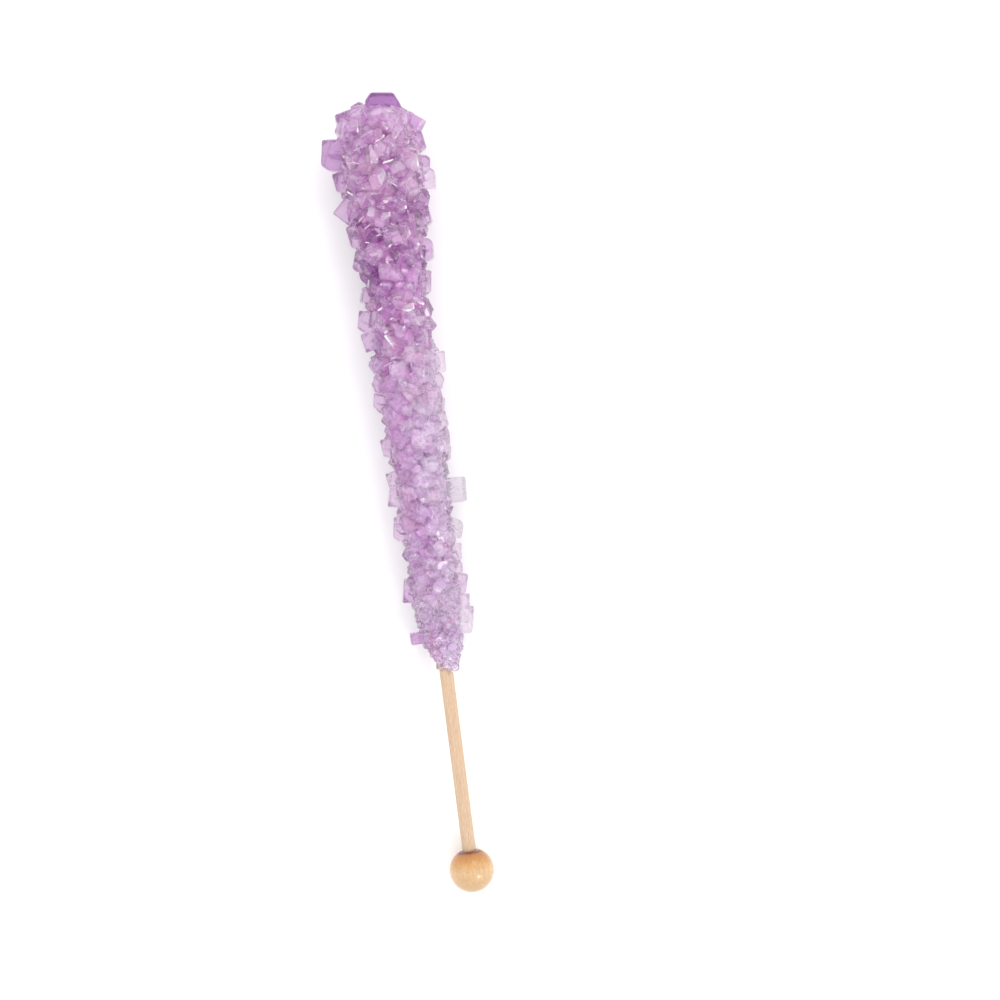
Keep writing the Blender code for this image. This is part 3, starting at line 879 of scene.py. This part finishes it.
def bareBirch():
    material, tree, shader = newMaterial("bare birch")
    place = woodPlace(tree)
    fine = fibres(tree, place, birch["fibre"])
    broad = fibres(tree, place, birch["streak"])
    both = addNode(tree, "ShaderNodeMix", {}, {"Factor": birch["streaks"], "A": fine, "B": broad})
    ramp = addNode(tree, "ShaderNodeValToRGB", {}, {"Fac": both.outputs["Result"]})
    setRamp(ramp, birch["tones"])
    tree.links.new(ramp.outputs["Color"], shader.inputs["Base Color"])
    bump = addNode(
        tree,
        "ShaderNodeBump",
        {},
        {"Height": fine, "Strength": birch["relief"], "Distance": birch["reliefDepth"] * mm},
    )
    tree.links.new(bump.outputs["Normal"], shader.inputs["Normal"])
    shader.inputs["Roughness"].default_value = birch["roughness"]
    return material


def varnishedBirch():
    material, tree, shader = newMaterial("varnished birch")
    place = woodPlace(tree)
    axial = addNode(tree, "ShaderNodeSeparateXYZ", {}, {"Vector": place}).outputs["Z"]
    below = addNode(
        tree,
        "ShaderNodeMapRange",
        {},
        {
            "Value": axial,
            "From Min": ball["mouth"] * mm,
            "From Max": -ballRadius,
            "To Min": 0.0,
            "To Max": 1.0,
        },
    ).outputs["Result"]
    uneven = addNode(
        tree,
        "ShaderNodeTexNoise",
        {},
        {"Vector": place, "Scale": 1 / (varnish["wanderSize"] * mm), "Detail": varnish["wanderDetail"]},
    )
    shift = addNode(
        tree,
        "ShaderNodeMath",
        {"operation": "MULTIPLY_ADD"},
        {0: uneven.outputs["Fac"], 1: varnish["wander"], 2: below},
    )
    centred = addNode(
        tree, "ShaderNodeMath", {"operation": "SUBTRACT"}, {0: shift.outputs[0], 1: varnish["wander"] / 2}
    )
    amber = addNode(tree, "ShaderNodeValToRGB", {}, {"Fac": centred.outputs[0]})
    setRamp(amber, varnish["tones"])
    flecks = addNode(tree, "ShaderNodeValToRGB", {}, {"Fac": fibres(tree, place, varnish["fleck"])})
    setRamp(flecks, varnish["fleckTones"])
    grain = addNode(tree, "ShaderNodeValToRGB", {}, {"Fac": fibres(tree, place, varnish["grain"])})
    setRamp(grain, varnish["grainTones"])
    flecked = shaded(tree, amber.outputs["Color"], flecks.outputs["Color"])
    tree.links.new(shaded(tree, flecked, grain.outputs["Color"]), shader.inputs["Base Color"])
    shader.inputs["Roughness"].default_value = varnish["roughness"]
    shader.inputs["Coat Weight"].default_value = varnish["coat"]
    shader.inputs["Coat Roughness"].default_value = varnish["coatRoughness"]
    return material


finishPiece(turnedBall(), "wooden_ball", varnishedBirch())
finishPiece(dowelRod(), "wooden_dowel", bareBirch())
print("ball and dowel")

# The studio: white matt paper, an even white room round it, and the camera above, with its places in mm.
studio = {
    "floor": "#FAFAFA",
    "floorSize": 6.0,  # metres
    "floorDrop": 0.1,
    "floorRoughness": 0.9,
    "horizon": 1.35,
    "overhead": 1.17,
    "overheadFrom": 0.9,
    "cameraTurn": math.radians(7.28),
    "lens": 100.0,
    "sensor": 36.0,
    "height": 620.5,
    "aside": 17.55,
    "back": -1.04,
}
# each softbox: name, watts, size in metres, and place in metres to the right, up the picture and above
softboxes = (
    ("soft key", 2.0, 0.28, 0.58, -0.50, 0.65),
    ("soft fill left", 0.7, 0.40, -0.62, 0.16, 0.66),
    ("soft fill top", 1.2, 0.40, 0.24, 0.62, 0.70),
)
deselectAll()
bpy.ops.mesh.primitive_plane_add(size=studio["floorSize"])
floor = bpy.context.object
floor.name = "floor"
floor.location.z = -studio["floorDrop"] * mm
paper, tree, shader = newMaterial("white paper")
shader.inputs["Base Color"].default_value = colourOf(studio["floor"])
shader.inputs["Roughness"].default_value = studio["floorRoughness"]
shader.inputs["Specular IOR Level"].default_value = 0.0
floor.data.materials.append(paper)
world = bpy.data.worlds.new("studio")
bpy.context.scene.world = world
world.use_nodes = True
direction = addNode(world.node_tree, "ShaderNodeTexCoord").outputs["Generated"]
height = addNode(world.node_tree, "ShaderNodeSeparateXYZ", {}, {"Vector": direction}).outputs["Z"]
glow = addNode(
    world.node_tree,
    "ShaderNodeMapRange",
    {},
    {
        "Value": height,
        "From Min": 0.0,
        "From Max": studio["overheadFrom"],
        "To Min": studio["horizon"],
        "To Max": studio["overhead"],
    },
)
world.node_tree.nodes["Background"].inputs["Color"].default_value = (1.0, 1.0, 1.0, 1.0)
world.node_tree.links.new(glow.outputs["Result"], world.node_tree.nodes["Background"].inputs["Strength"])
right = Vector((math.cos(studio["cameraTurn"]), -math.sin(studio["cameraTurn"]), 0.0))
up = Vector((math.sin(studio["cameraTurn"]), math.cos(studio["cameraTurn"]), 0.0))
for name, watts, size, fromRight, fromUp, fromAbove in softboxes:
    lampPlace = right * fromRight + up * fromUp + Vector((0.0, 0.0, fromAbove))
    bpy.ops.object.light_add(type="AREA", location=lampPlace)
    lamp = bpy.context.object
    lamp.name = name
    lamp.data.size = size
    lamp.data.energy = watts
    lamp.rotation_euler = lampPlace.to_track_quat("Z", "Y").to_euler()
bpy.ops.object.camera_add()
camera = bpy.context.object
camera.data.lens = studio["lens"]
camera.data.sensor_width = studio["sensor"]
boxCentre = (Vector(cadBox[0]) + Vector(cadBox[1])) / 2
camera.location = boxCentre + (right * studio["aside"] + up * studio["back"]) * mm
camera.location.z = studio["height"] * mm
camera.rotation_euler = (0.0, 0.0, -studio["cameraTurn"])
bpy.context.scene.camera = camera
bpy.context.scene.view_settings.view_transform = "Standard"
